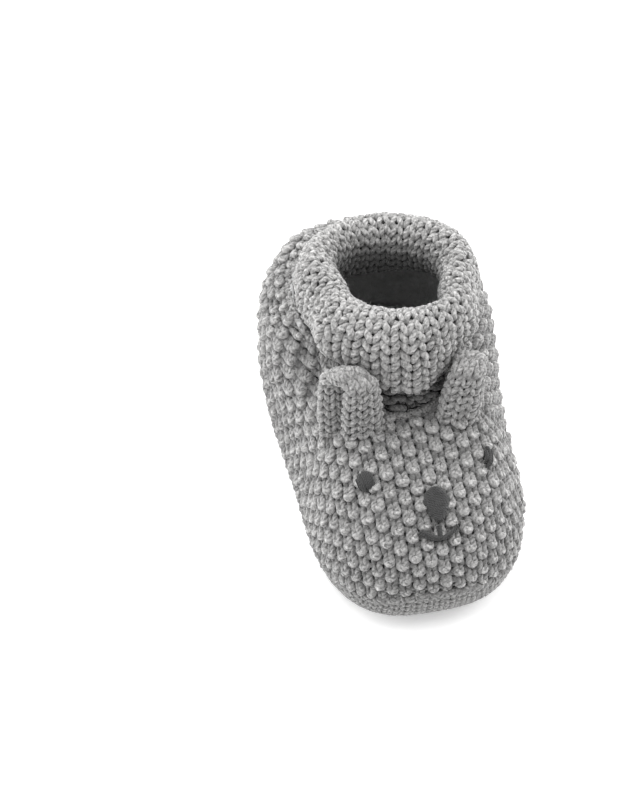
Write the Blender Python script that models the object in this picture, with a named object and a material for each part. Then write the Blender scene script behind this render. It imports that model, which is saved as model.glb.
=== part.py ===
"""Knitted baby bootie: sole with grip dots, hollow upper, turned-down cuff, two ears and a stitched face.

The toe points along -Y, +Z is up, and the grip dots stand on the plane z = 0.
Sizes are in millimetres and are turned into metres where a mesh is made.
"""
import math
from collections import namedtuple

import bmesh
import bpy
from mathutils import Vector
from mathutils.bvhtree import BVHTree

MM = 0.001

# Driving dimensions of the foot form
LENGTH = 111.0            # toe to heel, over the upper
BALL_WIDTH = 61.2         # over the upper at the ball
ANKLE_WIDTH = 66.6        # over the upper at the ankle
INSTEP_HEIGHT = 43.5      # throat edge at the instep
BALL_HEIGHT = 46.0        # throat edge beside the instep
ANKLE_HEIGHT = 51.0       # throat edge beside the ankle
HEEL_HEIGHT = 56.0        # throat edge at the heel
SEAM_TOE = 17.5           # sole seam at the toe tip
SEAM_BALL = 10.0          # sole seam at the ball
SEAM_ANKLE = 9.3          # sole seam at the ankle
SEAM_HEEL = 11.0          # sole seam at the heel
WALL = 3.0                # knitted fabric of upper, cuff and sole
GAP = 0.3                 # clearance between pieces that meet

# Sole and grip dots
DOT_HEIGHT = 0.9
DOT_DIAMETER = 7.2
DOT_ROWS = 3
DOT_COLUMNS = 6
DOT_PITCH_ACROSS = 15.2
DOT_PITCH_ALONG = 16.2
DOT_SIDES = 16
SOLE_TURN = 0.46          # width of the turned-up edge, as a share of its height
SOLE_STEPS = 4            # steps along the turned-up edge

# Steps around half of a section, and between the named sections
TOE_STEPS = 11
SIDE_STEPS = 7
HEEL_STEPS = 9
UPPER_STEPS = 13
CUFF_STEPS = 17
CUFF_REACH = 3            # steps over which the hem's corners are eased
UPPER_HEEL_FULLNESS = 2.4
CUFF_HEEL_FULLNESS = 2.0

# A section is a closed line through toe, ball, ankle and heel, the same on both sides. fullness squares
# the toe, and tongue draws its sides in, so that only the middle of it reaches forward.
Section = namedtuple(
    "Section",
    "toe_y toe_z ball_x ball_y ball_z ankle_x ankle_y ankle_z heel_y heel_z fullness tongue",
)

# Levels of the upper, from the sole seam to the throat. toe and heel are shares of half the length;
# ball and ankle are shares of half their widths, at the places ball_y and ankle_y; each rise is the
# share of the way from the seam to the throat at that place.
UpperLevel = namedtuple(
    "UpperLevel",
    "toe toe_rise ball ball_y ball_rise ankle ankle_y ankle_rise heel heel_rise fullness",
)
UPPER_LEVELS = [
    UpperLevel(0.999, 0.000, 0.966, -19.0, 0.000, 0.950, 23.0, 0.000, 0.980, 0.000, 2.40),   # seam
    UpperLevel(0.994, 0.145, 1.000, -18.5, 0.160, 0.996, 23.0, 0.200, 0.997, 0.245, 2.38),   # wall
    UpperLevel(0.935, 0.330, 0.941, -15.0, 0.417, 0.997, 23.0, 0.470, 0.997, 0.530, 2.30),   # shoulder
    UpperLevel(0.777, 0.580, 0.825, -10.0, 0.670, 0.950, 23.0, 0.740, 0.972, 0.800, 2.20),   # instep
    UpperLevel(0.545, 0.800, 0.705, -3.0, 0.850, 0.845, 22.0, 0.930, 0.892, 0.940, 2.10),    # collar
    UpperLevel(0.252, 1.000, 0.605, 4.0, 1.000, 0.721, 21.0, 1.000, 0.782, 1.000, 2.10),     # throat
]

# Middle of the cuff's fabric, from its base in the throat over the crest down to the hem.
CUFF_SECTIONS = [
    Section(-10.6, 41.0, 14.3, 5.0, 43.5, 19.6, 21.0, 48.5, 39.8, 53.0, 2.1, 0.0),    # base
    Section(-5.6, 51.5, 13.5, 6.0, 53.0, 17.0, 20.0, 55.5, 29.2, 53.8, 2.1, 0.0),     # neck
    Section(1.0, 62.0, 13.0, 8.0, 62.5, 15.4, 19.0, 62.8, 28.2, 63.0, 2.1, 0.0),      # mouth
    Section(1.2, 67.5, 14.0, 8.0, 68.0, 16.8, 19.0, 68.0, 28.8, 67.5, 2.1, 0.0),      # inner brim
    Section(-3.0, 70.5, 16.8, 6.0, 71.0, 20.0, 19.0, 71.0, 31.6, 70.0, 2.0, 0.0),     # crest
    Section(-7.9, 67.7, 19.6, 2.4, 68.4, 23.0, 18.5, 68.2, 34.8, 68.0, 2.0, 0.2),     # outer brim
    Section(-11.0, 59.8, 20.8, 0.4, 63.4, 24.8, 17.5, 62.0, 37.8, 63.3, 2.0, 0.55),   # flap
    Section(-12.4, 51.4, 19.2, -1.6, 58.8, 25.0, 16.5, 55.5, 39.8, 58.0, 2.0, 0.9),   # hem
]

# Ears: a strip folded over into an arch. facing is the turn of its front face from straight ahead, and
# apart is the turn of the line from the back leg to the front one, which is spread long at the instep.
# height is that of the strip's middle at the fold, over the instep. lean tips the ear backwards and sway
# tips it to the right.
Ear = namedtuple("Ear", "name x y facing apart spread height lean sway")
EARS = [
    Ear("ear_left", -15.6, -13.4, 4.0, 52.0, 6.8, 15.4, 12.0, 0.0),
    Ear("ear_right", 14.4, -13.2, -4.0, -22.0, 5.0, 13.2, 14.0, 12.0),
]
EAR_WIDTH_BASE = 12.0
EAR_WIDTH_TOP = 10.0
EAR_THICKNESS = 3.7
EAR_OPENING = 1.06        # spread where the fold starts, over the spread at the instep
EAR_ROOT = 6.0            # length below the instep that the instep's form cuts off
EAR_LEG_STEPS = 5
EAR_ARCH_STEPS = 8
EAR_SIDES = 12

# Face, placed on the toe by its plan position
FACE_HEIGHT = 1.0         # top of the stitches over the upper
EYES = [("eye_left", -14.9, -29.0, (4.6, 5.4)), ("eye_right", 18.9, -27.3, (2.5, 5.8))]
NOSE_PLACE = (2.3, -38.4)
NOSE_WIDTH = 7.6
NOSE_LENGTH = 8.6
NOSE_NARROWING = 0.55     # share of the width that is gone at the lower point
NOSE_SHARPNESS = 1.6
MOUTH_PLACE = (1.6, -45.9)
MOUTH_HALF = 5.2
MOUTH_RISE = 2.4
MOUTH_STROKE = 1.3
STEM_LENGTH = 3.2
ROUND_STEPS = 16
PRISM_DEPTH = 4.0         # half the height of the prism that an outline is cut from
CLOSEST_CORNERS = 0.08

# Colours and roughness
UPPER_GREY = (0.42, 0.42, 0.41)
CUFF_GREY = (0.46, 0.46, 0.45)
SOLE_GREY = (0.30, 0.30, 0.29)
THREAD_GREY = (0.07, 0.07, 0.075)
DOT_WHITE = (0.85, 0.83, 0.81)
YARN_ROUGHNESS = 0.9
THREAD_ROUGHNESS = 0.6
RUBBER_ROUGHNESS = 0.6


def between(rows, share):
    """Smooth curve through all columns of a table, share running from 0 to 1."""
    place = share * (len(rows) - 1)
    start = min(int(place), len(rows) - 2)
    t = place - start
    here, there = rows[start], rows[start + 1]
    before = rows[start - 1] if start else [2 * a - b for a, b in zip(here, there)]
    after = rows[start + 2] if start + 2 < len(rows) else [2 * b - a for a, b in zip(here, there)]
    values = []
    for p0, p1, p2, p3 in zip(before, here, there, after):
        slope = p2 - p0
        bend = 2 * p0 - 5 * p1 + 4 * p2 - p3
        twist = 3 * (p1 - p2) + p3 - p0
        values.append(p1 + 0.5 * t * (slope + t * (bend + t * twist)))
    return type(here)(*values)


def upper_section(level):
    """Turn a level of the upper into a section in millimetres."""
    return Section(
        -level.toe * LENGTH / 2,
        SEAM_TOE + level.toe_rise * (INSTEP_HEIGHT - SEAM_TOE),
        level.ball * BALL_WIDTH / 2,
        level.ball_y,
        SEAM_BALL + level.ball_rise * (BALL_HEIGHT - SEAM_BALL),
        level.ankle * ANKLE_WIDTH / 2,
        level.ankle_y,
        SEAM_ANKLE + level.ankle_rise * (ANKLE_HEIGHT - SEAM_ANKLE),
        level.heel * LENGTH / 2,
        SEAM_HEEL + level.heel_rise * (HEEL_HEIGHT - SEAM_HEEL),
        level.fullness,
        0.0,
    )


def quarter(turn, fullness):
    """Sides of a rounded corner, from (0, 1) to (1, 0) as turn goes from 0 to 1."""
    angle = turn * math.pi / 2
    return math.sin(angle) ** (2 / fullness), max(math.cos(angle), 0.0) ** (2 / fullness)


def ring(section, heel_fullness):
    """Closed line of points through a section: toe, right side, heel, left side."""
    s = section
    half = []
    for step in range(TOE_STEPS):
        across, along = quarter(step / TOE_STEPS, s.fullness)
        middle = (1 - across * across) ** 2
        half.append(Vector((
            s.ball_x * across,
            s.ball_y + (s.toe_y - s.ball_y) * (along + s.tongue * (middle - along)),
            s.ball_z + (s.toe_z - s.ball_z) * middle,
        )))
    for step in range(SIDE_STEPS):
        t = step / SIDE_STEPS
        ease = t * t * (3 - 2 * t)
        half.append(Vector((
            s.ball_x + (s.ankle_x - s.ball_x) * ease,
            s.ball_y + (s.ankle_y - s.ball_y) * t,
            s.ball_z + (s.ankle_z - s.ball_z) * ease,
        )))
    for step in range(HEEL_STEPS + 1):
        along, across = quarter(step / HEEL_STEPS, heel_fullness)
        lift = math.sin(step / HEEL_STEPS * math.pi / 2) ** 2
        half.append(Vector((
            s.ankle_x * across,
            s.ankle_y + (s.heel_y - s.ankle_y) * along,
            s.ankle_z + (s.heel_z - s.ankle_z) * lift,
        )))
    other = [Vector((-p.x, p.y, p.z)) for p in reversed(half[1:-1])]
    return half + other


def ring_normals(rings, reach):
    """Outward direction at every point of a stack of rings, from the points reach steps to either side."""
    normals = []
    for level, points in enumerate(rings):
        below = rings[max(level - 1, 0)]
        above = rings[min(level + 1, len(rings) - 1)]
        row = []
        for k in range(len(points)):
            along = points[(k + reach) % len(points)] - points[k - reach]
            row.append(along.cross(above[k] - below[k]).normalized())
        normals.append(row)
    return normals


def grown(rings, distance, reach=1):
    """The same rings moved outwards by a distance."""
    normals = ring_normals(rings, reach)
    return [[p + n * distance for p, n in zip(points, row)] for points, row in zip(rings, normals)]


def inset_ring(points, insets, heights):
    """A ring inside another in plan, by a distance and at a height for each point."""
    moved = []
    for k, p in enumerate(points):
        along = points[(k + 1) % len(points)] - points[k - 1]
        inwards = Vector((-along.y, along.x, 0.0)).normalized()
        moved.append(Vector((p.x, p.y, heights[k])) + inwards * insets[k])
    return moved


def matt_material(name, colour, roughness):
    """A matt material of one colour."""
    material = bpy.data.materials.new(name)
    material.use_nodes = True
    shader = material.node_tree.nodes["Principled BSDF"]
    shader.inputs["Base Color"].default_value = (*colour, 1.0)
    shader.inputs["Roughness"].default_value = roughness
    shader.inputs["Metallic"].default_value = 0.0
    return material


def make_object(name, bm, material, smooth_angle=40.0):
    """Close up a bmesh into a named object with its own material."""
    bmesh.ops.recalc_face_normals(bm, faces=bm.faces)
    mesh = bpy.data.meshes.new(name)
    bm.to_mesh(mesh)
    bm.free()
    mesh.shade_smooth()
    mesh.set_sharp_from_angle(angle=math.radians(smooth_angle))
    obj = bpy.data.objects.new(name, mesh)
    bpy.context.scene.collection.objects.link(obj)
    if material is not None:
        mesh.materials.append(material)
    return obj


def loft(rings, closed=False, capped=False):
    """Faces between rings; closed joins the last ring to the first, capped fills both ends."""
    bm = bmesh.new()
    loops = [[bm.verts.new(p * MM) for p in points] for points in rings]
    pairs = list(zip(loops, loops[1:]))
    if closed:
        pairs.append((loops[-1], loops[0]))
    for lower, upper in pairs:
        for k in range(len(lower)):
            n = (k + 1) % len(lower)
            bm.faces.new((lower[k], lower[n], upper[n], upper[k]))
    if capped:
        bm.faces.new(list(reversed(loops[0])))
        bm.faces.new(loops[-1])
    bm.normal_update()
    return bm


def upper_rings():
    """Outer face of the upper, from the seam to the throat."""
    rings = []
    for step in range(UPPER_STEPS):
        level = between(UPPER_LEVELS, step / (UPPER_STEPS - 1))
        rings.append(ring(upper_section(level), UPPER_HEEL_FULLNESS))
    return rings


def make_upper(outer):
    """Hollow wall with a flat lower edge along the seam, open at the throat and underneath."""
    inner = grown(outer, -WALL)
    seam = outer[0]
    inner[0] = inset_ring(seam, [WALL] * len(seam), [p.z for p in seam])
    bm = loft(outer + list(reversed(inner)), closed=True)
    return make_object("upper", bm, matt_material("upper_yarn", UPPER_GREY, YARN_ROUGHNESS))


def make_cuff():
    """Collar fabric that rises from the throat and turns down outwards to its hem."""
    middle = []
    for step in range(CUFF_STEPS):
        section = between(CUFF_SECTIONS, step / (CUFF_STEPS - 1))
        middle.append(ring(section, CUFF_HEEL_FULLNESS))
    one_side = grown(middle, WALL / 2, CUFF_REACH)
    other_side = grown(middle, -WALL / 2, CUFF_REACH)
    bm = loft(one_side + list(reversed(other_side)), closed=True)
    return make_object("cuff", bm, matt_material("cuff_yarn", CUFF_GREY, YARN_ROUGHNESS))


def turned_edge(seam, inset, floor):
    """Rings of the sole's edge, from its floor up to the seam along a quarter turn."""
    rims = [p.z - GAP for p in seam]
    rings = []
    for step in range(SOLE_STEPS + 1):
        angle = math.pi / 2 * step / SOLE_STEPS
        insets = [inset + SOLE_TURN * (rim - floor) * (1 - math.sin(angle)) for rim in rims]
        heights = [floor + (rim - floor) * (1 - math.cos(angle)) for rim in rims]
        rings.append(inset_ring(seam, insets, heights))
    return rings


def make_sole(seam):
    """Flat knitted sole whose edge is turned up to the seam."""
    bottom = DOT_HEIGHT + GAP
    outside = turned_edge(seam, 0.0, bottom)
    inside = turned_edge(seam, WALL, bottom + WALL)
    bm = loft(outside + list(reversed(inside)), capped=True)
    return make_object("sole", bm, matt_material("sole_yarn", SOLE_GREY, YARN_ROUGHNESS))


def make_grip_dots():
    """Rows of low round dots under the sole."""
    number = 0
    for column in range(DOT_COLUMNS):
        y = (column - (DOT_COLUMNS - 1) / 2) * DOT_PITCH_ALONG
        for row in range(DOT_ROWS):
            x = (row - (DOT_ROWS - 1) / 2) * DOT_PITCH_ACROSS
            number += 1
            bm = bmesh.new()
            bmesh.ops.create_cone(
                bm, cap_ends=True, segments=DOT_SIDES, depth=DOT_HEIGHT * MM,
                radius1=(DOT_DIAMETER / 2 - DOT_HEIGHT / 2) * MM, radius2=DOT_DIAMETER / 2 * MM,
            )
            place = Vector((x, y, DOT_HEIGHT / 2)) * MM
            bmesh.ops.translate(bm, verts=bm.verts, vec=place)
            name = f"grip_dot_{number:02d}"
            make_object(name, bm, matt_material(name + "_rubber", DOT_WHITE, RUBBER_ROUGHNESS))


def make_form(name, outer, distance):
    """Filled form of the upper, grown by a distance, kept as a guide for cutting."""
    bm = loft(grown(outer, distance), capped=True)
    bmesh.ops.poke(bm, faces=[face for face in bm.faces if len(face.verts) > 4])
    form = make_object(name, bm, None)
    form.hide_render = True
    form.display_type = "WIRE"
    return form


def cut(obj, form, operation):
    """Boolean of an object with one of the guide forms."""
    modifier = obj.modifiers.new(operation.lower() + "_" + form.name, "BOOLEAN")
    modifier.operation = operation
    modifier.solver = "EXACT"
    modifier.object = form


def join_close_corners(obj):
    """Join the corners that a cut has left closer together than the finest thread."""
    modifier = obj.modifiers.new("join_close_corners", "WELD")
    modifier.merge_threshold = CLOSEST_CORNERS * MM


def surface_frame(tree, x, y):
    """Place on the upper over a plan position, with its right, toe-ward and outward directions."""
    drop_from = Vector((x, y, 2 * HEEL_HEIGHT)) * MM
    place, normal, _, _ = tree.ray_cast(drop_from, Vector((0.0, 0.0, -1.0)))
    right = Vector((1.0, 0.0, 0.0))
    right = (right - normal * right.dot(normal)).normalized()
    return place / MM, right, right.cross(normal), normal


def ear_path(spread, height):
    """Middle line of the folded strip in its own plane: forward distance, height, width."""
    base_half, top_half = spread / 2, spread / 2 * EAR_OPENING
    straight = height - top_half
    leg = []
    for step in range(EAR_LEG_STEPS):
        rise = -EAR_ROOT + (straight + EAR_ROOT) * step / EAR_LEG_STEPS
        share = max(rise / straight, 0.0)
        leg.append((base_half + (top_half - base_half) * share * (2 - share), rise))
    path = [(-half, rise) for half, rise in leg]
    for step in range(EAR_ARCH_STEPS + 1):
        angle = math.pi * step / EAR_ARCH_STEPS
        path.append((-top_half * math.cos(angle), straight + top_half * math.sin(angle)))
    path.extend(reversed(leg))
    widths = []
    for _, rise in path:
        share = min(max(rise / height, 0.0), 1.0)
        widths.append(EAR_WIDTH_BASE + (EAR_WIDTH_TOP - EAR_WIDTH_BASE) * share ** 2)
    return path, widths


def make_ear(ear, tree, form):
    """Folded strip with round edges, standing on the instep."""
    base = surface_frame(tree, ear.x, ear.y)[0]
    turn, apart = math.radians(ear.facing), math.radians(ear.apart)
    lean, sway = math.radians(ear.lean), math.radians(ear.sway)
    upwards = Vector((math.sin(sway), math.sin(lean), math.cos(lean))).normalized()
    across = Vector((math.cos(turn), math.sin(turn), 0.0))
    across = (across - upwards * across.dot(upwards)).normalized()
    ahead = across.cross(upwards)
    slide = math.tan(apart - turn)
    path, widths = ear_path(ear.spread * math.cos(apart - turn), ear.height)
    rings = []
    for k, ((forward, rise), width) in enumerate(zip(path, widths)):
        before, after = path[max(k - 1, 0)], path[min(k + 1, len(path) - 1)]
        tangent = ahead * (after[0] - before[0]) + upwards * (after[1] - before[1])
        outward = tangent.cross(across).normalized()
        middle = base + (ahead + across * slide) * forward + upwards * rise
        flat = width / 2 - EAR_THICKNESS / 2
        points = []
        for side in range(EAR_SIDES):
            angle = math.pi * 2 * (side + 0.5) / EAR_SIDES
            sideways = math.cos(angle) * EAR_THICKNESS / 2 + math.copysign(flat, math.cos(angle))
            points.append(middle + across * sideways + outward * math.sin(angle) * EAR_THICKNESS / 2)
        rings.append(points)
    bm = loft(rings, capped=True)
    obj = make_object(ear.name, bm, matt_material(ear.name + "_yarn", CUFF_GREY, YARN_ROUGHNESS))
    cut(obj, form, "DIFFERENCE")
    join_close_corners(obj)


def oval(size):
    """Outline of an eye."""
    angles = [2 * math.pi * step / ROUND_STEPS for step in range(ROUND_STEPS)]
    return [(size[0] / 2 * math.cos(a), size[1] / 2 * math.sin(a)) for a in angles]


def nose_outline():
    """Outline of the nose: broad and round at the top, drawn in to a point at the bottom."""
    points = []
    for step in range(ROUND_STEPS):
        angle = 2 * math.pi * step / ROUND_STEPS
        down = 0.5 - 0.5 * math.sin(angle)
        half = NOSE_WIDTH / 2 * (1 - NOSE_NARROWING * down ** NOSE_SHARPNESS)
        points.append((half * math.cos(angle), NOSE_LENGTH / 2 * math.sin(angle)))
    return points


def mouth_outline():
    """Outline of the mouth: a stem that stands on a shallow curve with raised ends."""
    half_stroke = MOUTH_STROKE / 2

    def curve(x):
        return MOUTH_RISE * (x / MOUTH_HALF) ** 2

    steps = ROUND_STEPS // 2
    xs = [-MOUTH_HALF + 2 * MOUTH_HALF * step / steps for step in range(steps + 1)]
    lower = [(x, curve(x) - half_stroke) for x in xs]
    upper_right = [(x, curve(x) + half_stroke) for x in reversed(xs) if x > half_stroke]
    stem = [(half_stroke, half_stroke), (half_stroke, STEM_LENGTH),
            (-half_stroke, STEM_LENGTH), (-half_stroke, half_stroke)]
    upper_left = [(x, curve(x) + half_stroke) for x in reversed(xs) if x < -half_stroke]
    return lower + upper_right + stem + upper_left


def make_patch(name, place, outline, tree, forms):
    """Embroidery: an outline on the toe, cut to the thin layer between two forms of the upper."""
    middle, right, toewards, normal = surface_frame(tree, *place)
    rings = []
    for depth in (-PRISM_DEPTH, PRISM_DEPTH):
        rings.append([middle + right * x - toewards * y + normal * depth for x, y in outline])
    bm = loft(rings, capped=True)
    obj = make_object(name, bm, matt_material(name + "_thread", THREAD_GREY, THREAD_ROUGHNESS))
    inner_form, outer_form = forms
    cut(obj, outer_form, "INTERSECT")
    cut(obj, inner_form, "DIFFERENCE")
    join_close_corners(obj)


def main():
    for obj in list(bpy.data.objects):
        bpy.data.objects.remove(obj, do_unlink=True)

    outer = upper_rings()
    make_upper(outer)
    make_sole(outer[0])
    make_grip_dots()
    make_cuff()

    gap_form = make_form("form_gap", outer, GAP)
    face_form = make_form("form_face", outer, FACE_HEIGHT)
    surface = loft(outer)
    tree = BVHTree.FromBMesh(surface)
    surface.free()
    for ear in EARS:
        make_ear(ear, tree, gap_form)
    forms = (gap_form, face_form)
    for name, x, y, size in EYES:
        make_patch(name, (x, y), oval(size), tree, forms)
    make_patch("nose", NOSE_PLACE, nose_outline(), tree, forms)
    make_patch("mouth", MOUTH_PLACE, mouth_outline(), tree, forms)


main()
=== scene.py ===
# Knitted baby bootie: yarn, seams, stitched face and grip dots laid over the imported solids.
import math
import bmesh
import bpy
import numpy as np
from mathutils import Matrix, Vector
from mathutils.bvhtree import BVHTree


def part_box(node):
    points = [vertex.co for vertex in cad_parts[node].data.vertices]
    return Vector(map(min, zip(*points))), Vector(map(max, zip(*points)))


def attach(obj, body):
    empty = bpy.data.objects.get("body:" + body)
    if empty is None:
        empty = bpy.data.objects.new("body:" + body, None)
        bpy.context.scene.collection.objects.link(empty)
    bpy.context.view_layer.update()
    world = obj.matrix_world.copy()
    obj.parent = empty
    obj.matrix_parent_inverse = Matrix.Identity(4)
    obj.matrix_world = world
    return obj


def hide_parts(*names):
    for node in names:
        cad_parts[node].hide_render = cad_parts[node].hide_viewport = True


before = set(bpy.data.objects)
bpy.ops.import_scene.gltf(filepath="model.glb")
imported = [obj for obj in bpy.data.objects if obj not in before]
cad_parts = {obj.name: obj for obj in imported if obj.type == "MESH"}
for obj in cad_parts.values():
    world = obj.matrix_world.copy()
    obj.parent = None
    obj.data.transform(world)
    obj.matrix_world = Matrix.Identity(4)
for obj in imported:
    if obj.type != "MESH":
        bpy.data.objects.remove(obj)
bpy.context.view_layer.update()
mm = 0.001                      # shapes are worked out in millimetres
dice = np.random.default_rng(41)
print("frame loaded:", len(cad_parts), "nodes")


# camera
shot = {
    "azimuth": -14.5, "elevation": 52.65, "roll": 2.18,
    "focal": 2411.0,            # in pixels of the frame
    "distance": 0.665,
    "target": (0, 0, 0.02675), "pixel": (395.5, 411.0),
    "frame": (640, 799), "sensor": 36,
}


def placeCamera():
    turn = math.radians(shot["azimuth"])
    lift = math.radians(shot["elevation"])
    back = Vector((math.sin(turn) * math.cos(lift), -math.cos(turn) * math.cos(lift), math.sin(lift)))
    facing = (-back).to_track_quat("-Z", "Y").to_matrix()
    facing = facing @ Matrix.Rotation(math.radians(shot["roll"]), 3, "Z")
    wide, tall = shot["frame"]
    yaw = math.atan((shot["pixel"][0] - wide / 2) / shot["focal"])
    pitch = math.atan((shot["pixel"][1] - tall / 2) / shot["focal"])
    facing = facing @ Matrix.Rotation(yaw, 3, "Y") @ Matrix.Rotation(pitch, 3, "X")
    data = bpy.data.cameras.new("camera")
    data.sensor_fit = "AUTO"
    data.sensor_width = shot["sensor"]
    data.lens = shot["focal"] / max(wide, tall) * shot["sensor"]
    data.clip_start = 0.01
    camera = bpy.data.objects.new("camera", data)
    bpy.context.scene.collection.objects.link(camera)
    place = Vector(shot["target"]) + back * shot["distance"]
    camera.matrix_world = Matrix.Translation(place) @ facing.to_4x4()
    bpy.context.scene.camera = camera


placeCamera()
print("camera placed")


# node sums for the materials
class Wire:
    def __init__(self, tree, socket=None):
        self.tree = tree
        self.socket = socket

    def node(self, kind, settings=None, sockets=None, out=0):
        made = self.tree.nodes.new(kind)
        for key, value in (settings or {}).items():
            setattr(made, key, value)
        for key, value in (sockets or {}).items():
            if isinstance(value, Wire):
                self.tree.links.new(value.socket, made.inputs[key])
            else:
                made.inputs[key].default_value = value
        return Wire(self.tree, made.outputs[out])

    def output(self, out):
        return Wire(self.tree, self.socket.node.outputs[out])

    def into(self, shader, socket):
        self.tree.links.new(self.socket, shader.inputs[socket])

    def math(self, operation, *values):
        return self.node("ShaderNodeMath", {"operation": operation}, dict(enumerate(values)))

    def __add__(self, other):
        return self.math("ADD", self, other)

    def __sub__(self, other):
        return self.math("SUBTRACT", self, other)

    def __mul__(self, other):
        return self.math("MULTIPLY", self, other)

    __radd__ = __add__

    def sine(self):
        return self.math("SINE", self)

    def held(self):
        return self.node("ShaderNodeClamp", None, {0: self})

    def blend(self, first, second):
        return self.node("ShaderNodeMix", {"data_type": "RGBA"}, {0: self, 6: first, 7: second}, 2)

    def objectSpace(self):
        return self.node("ShaderNodeTexCoord", None, None, 3)

    def yarnMap(self):
        return self.node("ShaderNodeSeparateXYZ", None, {0: self.node("ShaderNodeUVMap", {"uv_map": "yarn"})})

    def noise(self, vector, scale, detail=2.0, rough=0.55):
        values = {"Vector": vector, "Scale": scale, "Detail": detail, "Roughness": rough}
        return self.node("ShaderNodeTexNoise", None, values)

    def bumps(self, strength, distance):
        return self.node("ShaderNodeBump", None, {"Strength": strength, "Distance": distance, "Height": self})


def newFinish(name, **fixed):
    finish = bpy.data.materials.new(name)
    finish.use_nodes = True
    shader = finish.node_tree.nodes["Principled BSDF"]
    for key, value in fixed.items():
        shader.inputs[key.replace("_", " ")].default_value = value
    return finish, shader, Wire(finish.node_tree)


def grey(light, warmth=0.0):
    return (light * (1 + warmth), light, light * (1 - warmth), 1.0)


# yarn: plies that twist round each other, pale and dark fibres mixed, and painted shade that makes yarn
# darker the deeper it lies in the fabric
def yarnFinish(name, pale, dark, warmth=0.012, plies=3, pitch=3.6, sheen=0.38, flecks=1.5, shadeSteep=0.5):
    finish, shader, wire = newFinish(name, Roughness=0.92, Sheen_Weight=sheen, Sheen_Roughness=0.6,
                                     Specular_IOR_Level=0.15)
    along = wire.yarnMap()
    turns = along.output(1) + along * (1 / pitch)
    ply = (turns * (plies * math.tau)).sine()
    fibreSpace = wire.node("ShaderNodeCombineXYZ", None, {0: along * 0.7, 1: turns * 7.0})
    fibres = wire.noise(fibreSpace, 1.0, 3.0, 0.65)
    space = wire.objectSpace()
    marl = wire.noise(space, 1300.0, 3.0, 0.7)
    patches = wire.noise(space, 70.0, 1.0)
    # painted shade: the depth attribute darkens yarn down between the stitches and on the collar's inside;
    # shadeSteep sets how strongly
    depth = wire.node("ShaderNodeAttribute", {"attribute_name": "depth"}, None, 2)
    mixed = ply * 0.14 + fibres * 1.3 + marl * flecks + patches * 0.25 - 0.3 - flecks * 0.5
    shade = (mixed * (depth * shadeSteep + (1.04 - shadeSteep))).held()
    shade.blend(grey(dark, warmth), grey(pale, warmth)).into(shader, "Base Color")
    (ply * 0.35 + fibres * 1.1).bumps(0.75, 0.0003).into(shader, "Normal")
    return finish


# fabric behind the yarn: soft dark pile that closes the gaps between stitches; its dark colour is painted
# shade in those gaps
def pileFinish(name, pale, dark):
    finish, shader, wire = newFinish(name, Roughness=1.0, Specular_IOR_Level=0.1)
    space = wire.objectSpace()
    tufts = wire.noise(space, 900.0, 3.0)
    broad = wire.noise(space, 160.0)
    shade = (tufts * 0.9 + broad * 0.6 - 0.3).held()
    shade.blend(grey(dark), grey(pale)).into(shader, "Base Color")
    tufts.bumps(0.6, 0.0004).into(shader, "Normal")
    return finish


def rubberFinish(name, pale, dark):
    finish, shader, wire = newFinish(name, Specular_IOR_Level=0.4)
    space = wire.objectSpace()
    pits = wire.noise(space, 1400.0)
    clouds = wire.noise(space, 240.0)
    (clouds * 0.8 + pits * 0.4 - 0.1).held().blend(dark, pale).into(shader, "Base Color")
    (0.42 + pits * 0.3).into(shader, "Roughness")
    pits.bumps(0.25, 0.0001).into(shader, "Normal")
    return finish


def threadFinish(name, pale, dark):
    finish, shader, wire = newFinish(name, Specular_IOR_Level=0.35, Sheen_Weight=0.2)
    along = wire.yarnMap()
    ply = ((along.output(1) + along * 0.8) * (2 * math.tau)).sine()
    marl = wire.noise(wire.objectSpace(), 900.0)
    (ply * 0.2 + marl * 1.2 - 0.2).held().blend(grey(dark), grey(pale)).into(shader, "Base Color")
    (0.5 + marl * 0.3).into(shader, "Roughness")
    ply.bumps(0.4, 0.0001).into(shader, "Normal")
    return finish


finishes = {
    "upper": yarnFinish("upper yarn", 0.54, 0.075, flecks=2.1, shadeSteep=0.6),
    "cuff": yarnFinish("cuff yarn", 0.53, 0.10, flecks=2.4),
    # painted shade: the neck is the cuff's yarn, painted dark for the shade under the turned-down part
    "neck": yarnFinish("neck yarn in painted shade", 0.21, 0.05),
    "seam": yarnFinish("seam yarn", 0.35, 0.08),
    "ear": yarnFinish("ear yarn", 0.455, 0.085, flecks=2.2),
    "sole": yarnFinish("sole yarn", 0.36, 0.13),
    "upperShadePile": pileFinish("upper shade pile", 0.13, 0.04),
    "cuffShadePile": pileFinish("cuff shade pile", 0.07, 0.025),
    "neckShadePile": pileFinish("neck shade pile", 0.20, 0.08),
    "lining": pileFinish("lining pile", 0.62, 0.40),
    "soleShadePile": pileFinish("sole shade pile", 0.16, 0.06),
    "thread": threadFinish("embroidery thread", 0.048, 0.014),
    "rubber": rubberFinish("grip rubber", (0.80, 0.79, 0.76, 1), (0.60, 0.585, 0.55, 1)),
}
print("finishes made:", len(finishes))


# the solids as one ray target, in millimetres; the upper's triangles come first
def rayTarget(*names):
    points, triangles, counts = [], [], []
    for name in names:
        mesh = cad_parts[name].data
        mesh.calc_loop_triangles()
        start = len(points)
        points.extend(vertex.co / mm for vertex in mesh.vertices)
        triangles.extend(tuple(start + k for k in piece.vertices) for piece in mesh.loop_triangles)
        counts.append(len(triangles))
    return BVHTree.FromPolygons(points, triangles), counts


shellTree, shellCounts = rayTarget("upper", "sole")
upperTriangles = shellCounts[0]
acrossWay, aheadWay, upWay = Vector((1, 0, 0)), Vector((0, -1, 0)), Vector((0, 0, 1))
mirror = np.array([-1, 1, 1])


# rays start this far out, stop this far from the centre, and are this many degrees apart
fan = {"out": 95.0, "stop": 2.0, "step": 1.5, "least": 20}


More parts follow.
